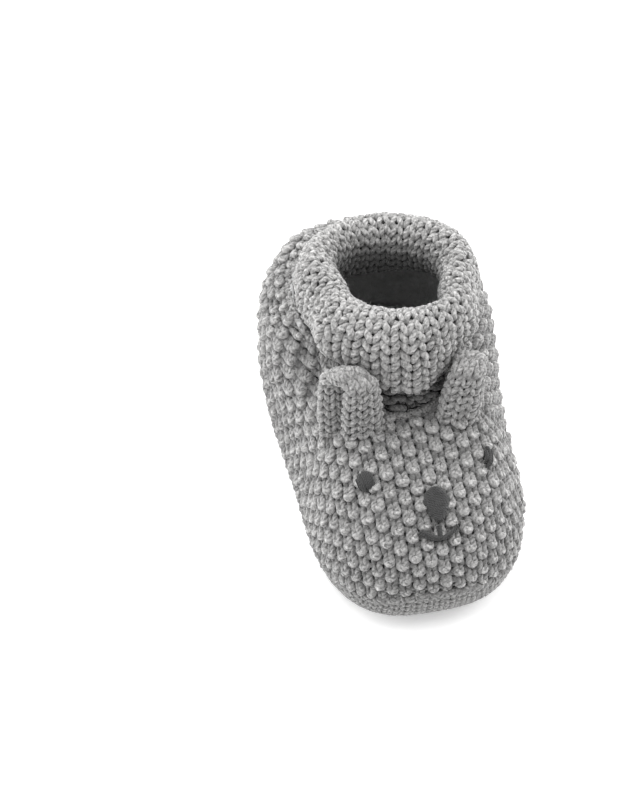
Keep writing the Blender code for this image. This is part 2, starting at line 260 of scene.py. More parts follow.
def castFan(centre, ahead, side, angles):
    # first hits from outside, in one plane; a ray that meets nothing leaves a gap
    places = np.full((len(angles), 3), np.nan)
    onUpper = np.zeros(len(angles), bool)
    for k, angle in enumerate(angles):
        way = ahead * math.cos(angle) + side * math.sin(angle)
        start = centre + way * fan["out"]
        place, normal, face, distance = shellTree.ray_cast(start, -way, fan["out"] - fan["stop"])
        if place is not None:
            places[k] = place
            onUpper[k] = face < upperTriangles
    return places, onUpper


def fanRow(centre, ahead, spread, onTop):
    # half a row from the middle to the right, where the seam cuts it, and if it starts on the wanted piece
    points, onUpper = castFan(centre, ahead, acrossWay, np.radians(np.arange(0, spread, fan["step"])))
    good = ~np.isnan(points[:, 0])
    if np.count_nonzero(good) < fan["least"]:
        return None                 # the plane misses the shoe
    points, onUpper = points[good], onUpper[good]
    points[0, 0] = 0.0
    along = lengths(points)
    off = np.flatnonzero(onUpper != onTop)
    return points, along, along[off[0]] if len(off) else along[-1], onUpper[0] == onTop


def lengths(points):
    return np.concatenate([[0.0], np.cumsum(np.linalg.norm(np.diff(points, axis=0), axis=1))])


def unit(ways):
    return ways / (np.linalg.norm(ways, axis=-1, keepdims=True) + 1e-12)


def bothSides(half):
    # a table from the middle outwards, with its mirror image on the left
    return np.concatenate([half[:, :0:-1] * mirror, half], axis=1)


def alongLine(points, places, wanted):
    # past either end the line runs on straight
    wanted = np.asarray(wanted, float)
    out = np.stack([np.interp(wanted, places, points[:, axis]) for axis in range(3)], axis=1)
    for end, inner, outside in ((0, 2, wanted < places[0]), (-1, -3, wanted > places[-1])):
        way = (points[end] - points[inner]) / (places[end] - places[inner])
        out[outside] = points[end] + np.outer(wanted[outside] - places[end], way)
    return out


def picked(at, line, rows):
    # rows of a table read off at other places along a line
    flat = rows.reshape(len(rows), -1)
    values = np.stack([np.interp(at, line, column) for column in flat.T], axis=1)
    return values.reshape(len(at), *rows.shape[1:])


def eased(table, rounds, wrap=False):
    for _ in range(rounds):
        for axis in (0, 1):
            pads = [(0, 0)] * table.ndim
            pads[axis] = (1, 1)
            if wrap and axis == 1:
                grown = np.pad(table, pads, mode="wrap")
            else:
                grown = np.pad(table, pads, mode="reflect", reflect_type="odd")
            count = table.shape[axis]
            low, middle, high = (np.take(grown, range(k, k + count), axis) for k in range(3))
            table = (low + 2 * middle + high) / 4
    return table


# a drape is a table of surface points: u runs along the courses, v across them
def newDrape(points, uStart, uStep, vStart, vStep, wrap=False, outward=None):
    if wrap:
        uWay = (np.roll(points, -1, axis=1) - np.roll(points, 1, axis=1)) / (2 * uStep)
    else:
        uWay = np.gradient(points, uStep, axis=1)
    vWay = np.gradient(points, vStep, axis=0)
    normals = unit(np.cross(uWay, vWay))
    flip = np.sign(np.nansum(normals * outward(points)))
    normals = unit(eased(normals * flip, 2, wrap))
    spread = np.sqrt(np.linalg.norm(uWay, axis=2) * np.linalg.norm(vWay, axis=2))
    table = np.concatenate([points, normals, spread[:, :, None]], axis=2)
    return {"table": table, "uStart": uStart, "uStep": uStep, "vStart": vStart, "vStep": vStep, "wrap": wrap}


def onDrape(drape, u, v):
    table = drape["table"]
    rows, columns = table.shape[:2]
    a = (np.asarray(u) - drape["uStart"]) / drape["uStep"]
    b = np.clip((np.asarray(v) - drape["vStart"]) / drape["vStep"], 0, rows - 1.001)
    if drape["wrap"]:
        a = a % columns
        left = np.floor(a).astype(int) % columns
        right = (left + 1) % columns
    else:
        a = np.clip(a, 0, columns - 1.001)
        left = np.floor(a).astype(int)
        right = left + 1
    low = np.floor(b).astype(int)
    across = (a - np.floor(a))[:, None]
    up = (b - low)[:, None]
    lower = table[low, left] * (1 - across) + table[low, right] * across
    upper = table[low + 1, left] * (1 - across) + table[low + 1, right] * across
    mixed = lower * (1 - up) + upper * up
    return mixed[:, :3], mixed[:, 3:6], mixed[:, 6]


# one course of loops: foot, leg, head, leg, foot; face says which side a stitch shows
def courseOf(stitch, row, first, last, face):
    steps = stitch["steps"]
    t = np.arange((last - first) * steps + 1) / steps + first
    column = np.minimum(np.floor(t).astype(int), last - 1)
    phase = math.tau * (t - column)
    u = stitch["width"] * (t + stitch["splay"] * np.sin(2 * phase) + stitch.get("squeeze", 0) * np.sin(phase))
    v = stitch["course"] * (row - stitch["reach"] * np.cos(phase))
    here = face(column, row)
    footBefore = -(face(column - 1, row) + here) / 2 - stitch["tuck"]
    footAfter = -(face(column + 1, row) + here) / 2 - stitch["tuck"]
    leg = here * stitch["leg"]
    keys = np.stack([footBefore, leg, -face(column, row + 1), leg, footAfter])
    quarter = np.clip(phase / (math.pi / 2), 0, 3.9999)
    low = np.floor(quarter).astype(int)
    ease = (1 - np.cos(math.pi * (quarter - low))) / 2
    picks = np.arange(len(t))
    depth = keys[low, picks] * (1 - ease) + keys[low + 1, picks] * ease
    return u, v, depth


def wobble(count, every, size):
    knots = dice.normal(0, size, (count // every + 3, 3))
    at = np.arange(count) / every
    return np.stack([np.interp(at, np.arange(len(knots)), knots[:, axis]) for axis in range(3)], axis=1)


def layCourse(runs, drape, stitch, row, first, last, face, keep=None, closed=False):
    u, v, depth = courseOf(stitch, row, first, last, face)
    if closed:
        u, v, depth = u[:-1], v[:-1], depth[:-1]
    kept = np.ones(len(u), bool) if keep is None else keep(u, v)
    places, normals, spread = onDrape(drape, u, v)
    size = np.clip(spread / stitch.get("spread", 1.0), stitch.get("least", 0.62), 1.12)
    relief = np.where(depth > 0, depth * stitch.get("peak", 1.0), depth)
    lift = np.maximum(stitch["depth"] * size * relief - stitch["inset"], -stitch.get("deepest", 9.0))
    loose = wobble(len(u), stitch["steps"] // 2, stitch["loose"])
    points = places + normals * lift[:, None] + loose
    slub = 1 + wobble(len(u), stitch["steps"], 0.07)[:, 0]
    radius = stitch["yarn"] * size * slub * (1 + stitch.get("plump", 0) * np.clip(depth, -1, 1))
    if closed and kept.all():
        runs.append((points, normals, radius, depth, True))
        return
    edges = np.flatnonzero(np.diff(np.concatenate([[False], kept, [False]]).astype(int)))
    for start, stop in zip(edges[::2], edges[1::2]):
        if stop - start > stitch["steps"] // 3:
            cut = slice(start, stop)
            runs.append((points[cut], normals[cut], radius[cut], depth[cut], False))


def sweepTubes(runs, sides=6):
    # round tubes along the runs, one mesh; the map gives length and turn, for the twist of the yarn
    points, faces, places, depths = [], [], [], []
    ring = np.arange(sides)
    angles = math.tau * ring / sides
    start = 0
    for line, normal, radius, depth, closed in runs:
        count = len(line)
        if closed:
            way = np.roll(line, -1, axis=0) - np.roll(line, 1, axis=0)
        else:
            way = np.gradient(line, axis=0)
        way = unit(way)
        side = unit(np.cross(way, normal))
        out = np.cross(side, way)
        spokes = np.cos(angles)[None, :, None] * side[:, None] + np.sin(angles)[None, :, None] * out[:, None]
        points.append((line[:, None] + spokes * radius[:, None, None]).reshape(-1, 3))
        depths.append(np.repeat(depth, sides))
        length = lengths(line) + dice.uniform(0, 40)
        spans = np.arange(count if closed else count - 1)
        a, s = np.meshgrid(spans, ring, indexing="ij")
        b, n = (a + 1) % count, (s + 1) % sides
        quads = start + np.stack([a * sides + s, b * sides + s, b * sides + n, a * sides + n], axis=-1)
        faces.extend(quads.reshape(-1, 4).tolist())
        near = length[a]
        far = np.where(b > a, length[b], length[-1] + np.linalg.norm(line[0] - line[-1]))
        turn = s / sides
        quadMap = np.stack([near, turn, far, turn, far, turn + 1 / sides, near, turn + 1 / sides], axis=-1)
        places.append(quadMap.reshape(-1, 2))
        if not closed:
            for first, order, at in ((start, ring, 0), (start + (count - 1) * sides, ring[::-1], -1)):
                faces.append((first + order).tolist())
                places.append(np.stack([np.full(sides, length[at]), order / sides], axis=1))
        start += count * sides
    return np.concatenate(points), faces, np.concatenate(places), np.concatenate(depths)


def addPiece(name, mesh, finish, nodes):
    piece = bpy.data.objects.new(name, mesh)
    bpy.context.scene.collection.objects.link(piece)
    mesh.materials.append(finish)
    mesh.shade_smooth()
    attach(piece, "root")
    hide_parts(*nodes)
    corners = np.array([vertex.co for vertex in mesh.vertices]) / mm
    print(name, "triangles:", sum(len(face.vertices) - 2 for face in mesh.polygons),
          "from", corners.min(axis=0).round(1), "to", corners.max(axis=0).round(1))


def meshFrom(bm, name):
    mesh = bpy.data.meshes.new(name)
    bm.to_mesh(mesh)
    bm.free()
    return mesh


def ringLoops(bm, rings):
    # a closed loop of edges for each ring of points in millimetres
    loops = [[bm.verts.new(Vector(p) * mm) for p in ring] for ring in rings]
    edges = [bm.edges.new((loop[k - 1], loop[k])) for loop in loops for k in range(len(loop))]
    return loops, edges


def yarnPiece(name, runs, finish, nodes):
    points, faces, places, depths = sweepTubes(runs)
    mesh = bpy.data.meshes.new(name)
    mesh.from_pydata(points * mm, [], faces)
    layer = mesh.uv_layers.new(name="yarn")
    layer.data.foreach_set("uv", places.ravel())
    # the depth attribute drives the painted shade in the yarn's colour
    mesh.attributes.new("depth", "FLOAT", "POINT").data.foreach_set("value", depths)
    addPiece(name, mesh, finish, nodes)


def seedFace(column, row):
    return 1.0 - 2.0 * ((column + row) % 2)


def plainFace(column, row):
    return np.ones(np.shape(column))


# folds pressed into the upper: places along the fold, how deep, how wide, and which way it goes in
folds = [
    {"line": [(-27, 26, 47), (-24.7, 13.7, 46.5), (-21, 2, 43.5), (-19, -7.2, 42.5)],
     "deep": 2.5, "wide": 4.2, "way": (0.45, 0, -0.9)},
    {"line": [(-30, 16, 40), (-27, 32, 46), (-19, 45, 49)],
     "deep": 1.9, "wide": 10.0, "way": (-0.7, 0.5, 0.45)},
    {"line": [(24.5, 3, 41), (23.5, -6, 39), (22, -13, 38)],
     "deep": 1.1, "wide": 3.0, "way": (-0.6, 0, -0.8)},
    {"line": [(-29.5, 8, 26), (-30.5, 0, 22)], "deep": 0.7, "wide": 4.5, "way": (1, 0, 0)},
    {"line": [(30.5, 6, 27), (30, -6, 22)], "deep": 0.7, "wide": 4.5, "way": (-1, 0, 0)},
    {"line": [(-13, -46, 28), (-4, -50.5, 26)], "deep": -0.5, "wide": 6.0, "way": (0, 0.8, -0.6)},
    {"line": [(14, -34, 35), (8, -28, 39.5)], "deep": 0.5, "wide": 5.0, "way": (-0.2, 0.3, -0.9)},
]


def folded(points):
    # points in millimetres, moved by every fold near them
    out = np.array(points, float)
    flat = out.reshape(-1, 3)
    start = flat.copy()
    for fold in folds:
        line = np.array(fold["line"], float)
        near = np.full(len(flat), np.inf)
        for a, b in zip(line, line[1:]):
            t = np.clip((start - a) @ (b - a) / ((b - a) @ (b - a)), 0, 1)
            near = np.minimum(near, np.linalg.norm(start - a - t[:, None] * (b - a), axis=1))
        flat += np.outer(fold["deep"] * np.exp(-(near / fold["wide"]) ** 2), unit(np.array(fold["way"])))
    x, y, z = start.T
    soft = (np.sin(x / 6.1 + y / 9.3) + np.sin(y / 5.3 - z / 7.7)) * 0.16
    flat += soft[:, None] * np.array([0.3, -0.2, 0.8])
    return out


# the upper in seed stitch, its columns along the foot and over the toe down to the seam
upper = {
    "pivot": (-15.0, -40.0),    # rows over the toe swing about this line under the floor
    "level": 6.0,               # height of the fans' centres under the toe
    "ankle": 23.0,              # rows round the heel turn about this upright line
    "waist": 20.0,              # height of the fans' centres at the sides
    "swings": (0, 44, 0.75), "toeSpread": 108, "toeReach": 66,
    "rimShare": 0.25,           # rows are spaced by the middle line, and by this share along the seam
    "sideFan": (-40, 86), "sideReach": (-6, 58), "raysBelow": 4,
    "girthAt": 12.0,            # rows of the sides are spaced along a line this far above the seam
    "inToe": (0, -20, 10), "inHeel": (0, 15, 20), "spine": (-35.0, 30.0, 20.0),
    "past": 0.6, "short": 0.4,  # the yarn runs past the seam, and stops short of the throat
    "backing": 1.9, "lining": 0.4,  # how far the backing lies inside the solid's faces
    "stitch": {"width": 3.75, "course": 2.43, "reach": 0.62, "splay": 0.12, "squeeze": 0.05, "steps": 16,
               "leg": 0.26, "tuck": 0.45, "depth": 0.76, "yarn": 0.94, "plump": 0.2, "inset": 1.3,
               "loose": 0.2, "peak": 0.75, "deepest": 2.05},
}


def toeRow(swing):
    pivotY, pivotZ = upper["pivot"]
    ahead = Vector((0, -math.sin(swing), math.cos(swing)))
    centre = Vector((0, pivotY, pivotZ)) + ahead * (upper["level"] - pivotZ) / math.cos(swing)
    return fanRow(centre, ahead, upper["toeSpread"], True)


def toeTable(stitch):
    swings = np.radians(np.arange(*upper["swings"]))
    rows = [row for row in map(toeRow, swings) if row is not None]
    swings = swings[:len(rows)]
    middle = lengths(np.array([row[0][0] for row in rows]))
    rim = lengths(np.array([alongLine(row[0], row[1], [row[2]])[0] for row in rows]))
    mean = middle * (1 - upper["rimShare"]) + rim * upper["rimShare"]
    last = max(k for k, row in enumerate(rows) if row[3])
    count = int(round(mean[last] / stitch["course"]))
    step = mean[last] / count
    at = np.arange(-1.0, count + 2.0, 0.5)
    swing = np.interp(at * step, mean, swings)
    swing[at < 0] = at[at < 0] * (swings[1] - swings[0]) * step / (mean[1] - mean[0])
    reach = np.arange(0, upper["toeReach"], 1.0)
    half, seams = [], []
    for value in swing:
        points, along, seam, _ = toeRow(value)
        half.append(alongLine(points, along, reach))
        seams.append(seam)
    table = folded(eased(bothSides(np.array(half)), 3))
    drape = newDrape(table, -reach[-1], 1.0, -stitch["course"], stitch["course"] / 2,
                     outward=lambda p: p - np.array(upper["inToe"]))
    return drape, at * stitch["course"], np.array(seams), count


def sideRow(centre, out):
    points, onUpper = castFan(centre, out, upWay, np.radians(np.arange(*upper["sideFan"], fan["step"])))
    seen = np.flatnonzero(onUpper)
    first = seen[0]
    gaps = np.flatnonzero(~onUpper[first:])
    last = first + (gaps[0] if len(gaps) else len(onUpper) - first) - 1
    start = max(first - upper["raysBelow"], 0)
    points = points[start:last + 1]
    good = ~np.isnan(points[:, 0])
    along = lengths(points[good])
    seam = along[np.count_nonzero(good[:first - start])]
    return points[good], along - seam


def sideTable(stitch):
    # one strip from the right of the instep round the heel to the left
    ankle, waist = upper["ankle"], upper["waist"]
    stations = [(Vector((0, y, waist)), acrossWay) for y in np.arange(upper["pivot"][0], ankle, 1.0)]
    for turn in np.radians(np.arange(0, 90, 2.0)):
        stations.append((Vector((0, ankle, waist)), Vector((math.cos(turn), math.sin(turn), 0))))
    stations.append((Vector((0, ankle, waist)), -aheadWay))
    rows = [sideRow(*station) for station in stations]
    line = lengths(np.array([alongLine(points, along, [upper["girthAt"]])[0] for points, along in rows]))
    count = int(round(line[-1] / stitch["course"]))
    reach = np.arange(*upper["sideReach"], 1.0)
    table = np.array([alongLine(points, along, reach) for points, along in rows])
    tops = np.array([along[-1] for points, along in rows])
    at = np.arange(0, count + 0.25, 0.5) * line[-1] / count
    right = picked(at, line, table)
    top = np.interp(at, line, tops)
    whole = folded(eased(np.concatenate([right, right[-2::-1] * mirror]), 3))
    drape = newDrape(whole, reach[0], 1.0, 0.0, stitch["course"] / 2,
                     outward=lambda p: p - np.array(upper["inHeel"]))
    return drape, np.concatenate([top, top[-2::-1]]), count * 2


def knitUpper():
    stitch = upper["stitch"]
    width, past = stitch["width"], upper["past"]
    drape, at, seams, count = toeTable(stitch)
    columns = int(seams.max() / width) + 2
    runs = []
    for row in range(count + 1):
        layCourse(runs, drape, stitch, row, -columns, columns, seedFace,
                  lambda u, v: np.abs(u) < np.interp(v, at, seams) + past)
    yarnPiece("upper_vamp", runs, finishes["upper"], ["upper"])
    upper["vampRuns"] = runs

    # columns are counted from the middle of the instep, so they run on from the toe
    sides, tops, rows = sideTable(stitch)
    spine = float(np.interp(0.0, at, seams))
    halfRows = np.arange(len(tops)) * stitch["course"] / 2
    lastReach = sides["uStart"] + sides["uStep"] * (sides["table"].shape[1] - 1)
    turned = dict(sides, table=sides["table"][:, ::-1], uStart=spine - lastReach)

    def keep(u, v):
        up = spine - u
        return (up > -past) & (up < np.interp(v, halfRows, tops) - upper["short"])

    runs = []
    for row in range(1, rows):
        layCourse(runs, turned, stitch, row, -1, int(spine / width) + 2, lambda c, r: seedFace(c, -r), keep)
    yarnPiece("upper_sides", runs, finishes["upper"], ["upper"])
    upper["sideRuns"] = runs
    upper["sides"], upper["tops"], upper["halfRows"] = sides, tops, halfRows


knitUpper()


# closed shells behind the yarn, from merged copies of the solids; their outside is dark pile, painted shade
# between the stitches, their inside lining
def shellFrom(name, node, sink, outer, finish):
    bm = bmesh.new()
    bm.from_mesh(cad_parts[node].data)
    bmesh.ops.remove_doubles(bm, verts=bm.verts, dist=1e-6)
    if node == "upper":
        bmesh.ops.subdivide_edges(bm, edges=bm.edges, cuts=1, use_grid_fill=True)
        for vertex, place in zip(bm.verts, folded([vertex.co / mm for vertex in bm.verts])):
            vertex.co = Vector(place) * mm
    bm.normal_update()
    moves = []
    for vertex in bm.verts:
        outside = outer(vertex.co / mm, vertex.normal)
        moves.append(vertex.normal * (-sink * mm if outside else upper["lining"] * mm))
    for bmFace in bm.faces:
        bmFace.material_index = 0 if outer(bmFace.calc_center_median() / mm, bmFace.normal) else 1
    for vertex, move in zip(bm.verts, moves):
        vertex.co += move
    mesh = meshFrom(bm, name)
    addPiece(name, mesh, finish, [node])
    mesh.materials.append(finishes["lining"])


def upperOutside(place, normal):
    front, back, height = upper["spine"]
    y = min(max(place.y, front), back)
    return normal.dot(place - Vector((0, y, height))) > 0


shellFrom("upper_backing", "upper", upper["backing"], upperOutside, finishes["upperShadePile"])


# the sole in fine stockinette, wales along the foot, wrapped up over its turned edge
sole = {
    "pivotToe": -28.0, "pivotHeel": 28.0, "pivotHeight": 40.0,
    "level": 9.0,
    "turn": 60, "spread": 110, "reach": 52,     # degrees round each end and across, length across
    "above": (0, 0, 30),
    "past": 0.2,                # the yarn runs this far past the seam
    "backing": 1.5,
    "stitch": {"width": 3.1, "course": 2.35, "reach": 0.69, "splay": 0.26, "steps": 14,
               "leg": 1.0, "tuck": 0.0, "depth": 0.5, "yarn": 0.66, "inset": 1.05, "loose": 0.05},
}


def soleRow(pivotY, swing):
    ahead = Vector((0, math.sin(swing), -math.cos(swing)))
    centre = Vector((0, pivotY, sole["pivotHeight"])) + ahead * (sole["pivotHeight"] - sole["level"])
    return fanRow(centre, ahead, sole["spread"], False)


def knitSole():
    stitch = sole["stitch"]
    stations = [(sole["pivotToe"], -swing) for swing in np.radians(np.arange(sole["turn"], 0, -1.0))]
    stations += [(y, 0.0) for y in np.arange(sole["pivotToe"], sole["pivotHeel"] + 0.5, 1.0)]
    stations += [(sole["pivotHeel"], swing) for swing in np.radians(np.arange(1, sole["turn"] + 1, 1.0))]
    rows = [soleRow(*station) for station in stations]
    rows = [row for row in rows if row is not None and row[3]]
    line = lengths(np.array([row[0][0] for row in rows]))
    count = int(round(line[-1] / stitch["course"]))
    halfRows = np.arange(-1, count + 1.25, 0.5)
    at = halfRows * line[-1] / count
    reach = np.arange(0, sole["reach"], 1.0)
    half = picked(at, line, np.array([alongLine(row[0], row[1], reach) for row in rows]))
    drape = newDrape(eased(bothSides(half), 2), -reach[-1], 1.0, -stitch["course"], stitch["course"] / 2,
                     outward=lambda p: p - np.array(sole["above"]))
    rims = np.array([row[2] for row in rows])
    rimAt = np.interp(at, line, rims)
    columns = int(rims.max() / stitch["width"]) + 2
    runs = []
    for row in range(count + 1):
        layCourse(runs, drape, stitch, row, -columns, columns, plainFace,
                  lambda u, v: np.abs(u) < np.interp(v, halfRows * stitch["course"], rimAt) + sole["past"])
    yarnPiece("sole_stockinette", runs, finishes["sole"], ["sole"])


def soleOutside(place, normal):
    return normal.z < -0.2 or normal.dot(place - Vector((0, place.y * 0.5, place.z))) > 0


knitSole()
shellFrom("sole_backing", "sole", sole["backing"], soleOutside, finishes["soleShadePile"])


# the cuff: a collar that rises from the throat and is turned down outwards, in stockinette
cuff = {
    "wales": 31,
    "perWale": 4, "steps": 10,  # points of the surface for a wale, and from one section to the next
    "reach": (-34, 24), "grid": 0.75,
    "crest": 4,                 # courses are measured from this section both ways
    "crestAbove": 69,
    "heelFullness": 2.0,
    "flareFrom": 12, "flareOver": 14,
    "lit": 4.5, "fade": 3.5,    # painted shade: below this the collar's inside is painted darker, the more the further down
    "neckTop": -13.0,           # how far up the neck is knitted, from the crest
    "neckStart": 0.8, "neckIn": 2.3, "neckHeart": (0, 14, 0),
    "neckStitch": {"inset": 0.35, "yarn": 0.8, "loose": 0.1},
    "backing": (0.45, 1.8),     # the near and far face of the skin behind the loops, and how coarse it is
    "everyRing": 4, "everyPoint": 2,
    "stitch": {"width": 1.0, "course": 2.7, "reach": 0.72, "splay": 0.245, "steps": 14,
               "leg": 1.0, "tuck": 0.0, "depth": 0.62, "yarn": 0.92, "inset": 0.0, "loose": 0.19,
               "spread": 2.05, "least": 0.66},
    # shift to the right, narrowing, slopes along and up for each step across, flare of the left front corner
    "leans": [(0, 1, 0, 0, 0), (0.6, 1, -0.04, 0, 0), (1.2, 0.95, -0.14, -0.04, 0),
              (1.2, 0.95, -0.14, -0.04, 0), (0.6, 0.98, -0.09, -0.01, 0), (0.7, 0.97, -0.04, -0.02, 0.06),
              (1.0, 0.955, -0.02, -0.05, 0.14), (1.1, 0.955, 0, -0.07, 0.19), (1.1, 0.955, 0, -0.07, 0.19)],
    # toeY toeZ ballX ballY ballZ ankleX ankleY ankleZ heelY heelZ fullness tongue
    "sections": [
        (-10.6, 41.0, 14.3, 5.0, 43.5, 19.6, 21.0, 48.5, 39.8, 53.0, 2.1, 0.0),
        (-5.6, 51.5, 13.5, 6.0, 53.0, 17.0, 20.0, 55.5, 29.2, 53.8, 2.1, 0.0),
        (1.0, 62.0, 13.0, 8.0, 62.5, 15.4, 19.0, 62.8, 27.4, 62.0, 2.1, 0.0),
        (1.2, 67.5, 14.0, 8.0, 68.0, 16.8, 19.0, 68.0, 28.2, 67.2, 2.1, 0.0),
        (-3.0, 70.5, 16.8, 6.0, 71.0, 20.0, 19.0, 71.0, 31.6, 70.0, 2.0, 0.0),
        (-7.9, 67.7, 19.6, 2.4, 68.4, 23.0, 18.5, 68.2, 34.8, 68.0, 2.0, 0.2),
        (-11.0, 59.8, 20.8, 0.4, 63.4, 24.8, 17.5, 62.0, 37.8, 63.3, 2.0, 0.55),
        (-12.4, 51.4, 19.2, -1.6, 58.8, 25.0, 16.5, 55.5, 39.8, 58.0, 2.0, 0.9),
        (-10.4, 50.4, 17.6, -0.6, 57.6, 22.8, 16.5, 54.2, 37.8, 56.8, 2.0, 0.9),
    ],
}


def cuffRing(section, count):
    # points evenly spaced round a section, from the middle of the front to the right
    toeY, toeZ, ballX, ballY, ballZ, ankleX, ankleY, ankleZ, heelY, heelZ, fullness, tongue = section
    turn = np.linspace(0, math.pi / 2, 40)
    across, along = np.sin(turn) ** (2 / fullness), np.cos(turn) ** (2 / fullness)
    middle = (1 - across ** 2) ** 2
    front = np.stack([ballX * across, ballY + (toeY - ballY) * (along + tongue * (middle - along)),
                      ballZ + (toeZ - ballZ) * middle], axis=1)
    t = np.linspace(0, 1, 20)
    ease = t * t * (3 - 2 * t)
    side = np.stack([ballX + (ankleX - ballX) * ease, ballY + (ankleY - ballY) * t,
                     ballZ + (ankleZ - ballZ) * ease], axis=1)
    along = np.sin(turn) ** (2 / cuff["heelFullness"])
    across = np.cos(turn) ** (2 / cuff["heelFullness"])
    back = np.stack([ankleX * across, ankleY + (heelY - ankleY) * along,
                     ankleZ + (heelZ - ankleZ) * np.sin(turn) ** 2], axis=1)
    half = np.concatenate([front[:-1], side[:-1], back])
    whole = np.concatenate([half, half[-2:0:-1] * mirror, half[:1]])
    along = lengths(whole)
    return alongLine(whole, along, np.linspace(0, along[-1], count, endpoint=False))


def smoothLine(points, steps):
    # a curve through the points, easing from one to the next
    ends = np.concatenate([[2 * points[0] - points[1]], points, [2 * points[-1] - points[-2]]])
    out = []
    for k in range(len(points) - 1):
        p0, p1, p2, p3 = ends[k:k + 4]
        for t in np.arange(steps) / steps:
            out.append(0.5 * (2 * p1 + (p2 - p0) * t + (2 * p0 - 5 * p1 + 4 * p2 - p3) * t ** 2
                              + (3 * p1 - p0 - 3 * p2 + p3) * t ** 3))
    out.append(points[-1])
    return np.array(out)


def leanedSurface():
    # the sections pushed out of true, and a smooth surface through them
    rings = np.array([cuffRing(section, cuff["wales"] * cuff["perWale"]) for section in cuff["sections"]])
    for ring, (shift, narrow, skew, drop, flare) in zip(rings, cuff["leans"]):
        across = ring[:, 0].copy()
        ahead = np.clip((cuff["flareFrom"] - ring[:, 1]) / cuff["flareOver"], 0, 1)
        across[across < 0] *= (1 + flare * ahead * ahead * (3 - 2 * ahead))[across < 0]
        ring[:, 1] += skew * across
        ring[:, 2] += drop * across
        ring[:, 0] = across * narrow + shift
    return eased(smoothLine(rings, cuff["steps"]), 2, True)


def crestUp(points):
    return np.where(points[:, :, 2:] > cuff["crestAbove"], np.array(upWay), 0.0)


def backCuff(surface):
    # the fabric's back: a closed skin just behind the loops, dark pile as painted shade between them; its far
    # face, on the neck's outside, a lighter pile painted as knitting in shade
    sheet = newDrape(surface, 0.0, 1.0, 0.0, 1.0, True, crestUp)["table"]
    sheet = sheet[::cuff["everyRing"], ::cuff["everyPoint"]]
    near, far = (sheet[:, :, :3] - sheet[:, :, 3:6] * sink for sink in cuff["backing"])
    bm = bmesh.new()
    loops, edges = ringLoops(bm, [*near, *far[::-1]])
    behind = {vertex for loop in loops[len(near):] for vertex in loop}
    bmesh.ops.bridge_loops(bm, edges=edges, use_cyclic=True)
    bmesh.ops.recalc_face_normals(bm, faces=bm.faces)
    for bmFace in bm.faces:
        bmFace.material_index = int(behind.issuperset(bmFace.verts))
    mesh = meshFrom(bm, "cuff_backing")
    addPiece("cuff_backing", mesh, finishes["cuffShadePile"], ["cuff"])
    mesh.materials.append(finishes["neckShadePile"])


def knitCuff():
    stitch, wales, perWale, grid = (cuff[key] for key in ("stitch", "wales", "perWale", "grid"))
    surface = leanedSurface()
    count = surface.shape[1]
    reach = np.arange(*cuff["reach"], grid)
    table = np.zeros((len(reach), count, 3))
    low, high = np.zeros(count), np.zeros(count)
    for k in range(count):
        along = lengths(surface[:, k])
        along -= along[cuff["crest"] * cuff["steps"]]
        table[:, k] = alongLine(surface[:, k], along, reach)
        low[k], high[k] = along[0], along[-1]
    drape = newDrape(table, 0.0, 1 / perWale, reach[0], grid, True, crestUp)
    wale = np.arange(count + 1) / perWale
    lowEnd, highEnd = np.append(low, low[0]), np.append(high, high[0])

    def keep(u, v):
        return (v > np.interp(u % wales, wale, lowEnd)) & (v < np.interp(u % wales, wale, highEnd))

    runs = []
    for row in range(int(low.min() / stitch["course"]) - 1, int(high.max() / stitch["course"]) + 2):
        laid = []
        layCourse(laid, drape, stitch, row, 0, wales, plainFace, keep, True)
        # painted shade: rows deep inside the collar get a lower depth, so their yarn is painted darker
        holeShade = max(0.0, -row * stitch["course"] - cuff["lit"]) / cuff["fade"]
        runs += [(line, out, radius, depth - holeShade, closed) for line, out, radius, depth, closed in laid]
    yarnPiece("cuff_stockinette", runs, finishes["cuff"], ["cuff"])
    cuff["runs"] = runs

    # the neck below the turned-down part shows the purl side outwards; its yarn is painted dark as shade
    # under the turned-down part
    skin = drape["table"][reach < cuff["neckTop"]]
    neck = newDrape(skin[:, :, :3] - skin[:, :, 3:6] * cuff["neckIn"], 0.0, 1 / perWale, reach[0], grid, True,
                    outward=lambda p: (p - np.array(cuff["neckHeart"])) * np.array([1, 1, 0]))
    purl = dict(stitch, **cuff["neckStitch"])
    runs = []
    for row in range(int(low.min() / stitch["course"]), int(cuff["neckTop"] / stitch["course"])):
        layCourse(runs, neck, purl, row, 0, wales, lambda c, r: -plainFace(c, r),
                  lambda u, v: keep(u, v - cuff["neckStart"]), True)
    yarnPiece("cuff_neck", runs, finishes["neck"], ["cuff"])
    backCuff(surface)


knitCuff()


# the ears: a strip knitted in the round, folded over into an arch with both ends sewn to the instep
ears = {
    "wales": 7,
    "widthBase": 12.2, "widthTop": 9.4, "thick": 4.2, "fuller": 0.9,
    "opening": 1.06, "root": 4.0,
    "perWale": 4, "grid": 0.7,
    "yarnIn": 1.1, "coreIn": 1.7,   # how far the yarn and the core lie below the ear's face
    "corePoints": 2, "coreEvery": 3,
    "edgePower": 0.85, "facePower": 0.9,
    # x y facing apart spread height lean sway
    "places": {"ear_left": (-15.6, -13.4, 4.0, 52.0, 6.8, 15.4, 12.0, 0.0),
               "ear_right": (14.4, -13.2, -4.0, -22.0, 5.0, 13.2, 14.0, 12.0)},
    "stitch": {"width": 1.0, "course": 2.6, "reach": 0.71, "splay": 0.255, "steps": 18,
               "leg": 1.0, "tuck": 0.0, "depth": 0.5, "yarn": 0.82, "inset": 0.0, "loose": 0.09,
               "spread": 1.8, "least": 0.7},
}


def instepPoint(x, y):
    place, normal, index, distance = shellTree.ray_cast(Vector((x, y, 120.0)), -upWay)
    return np.array(place)


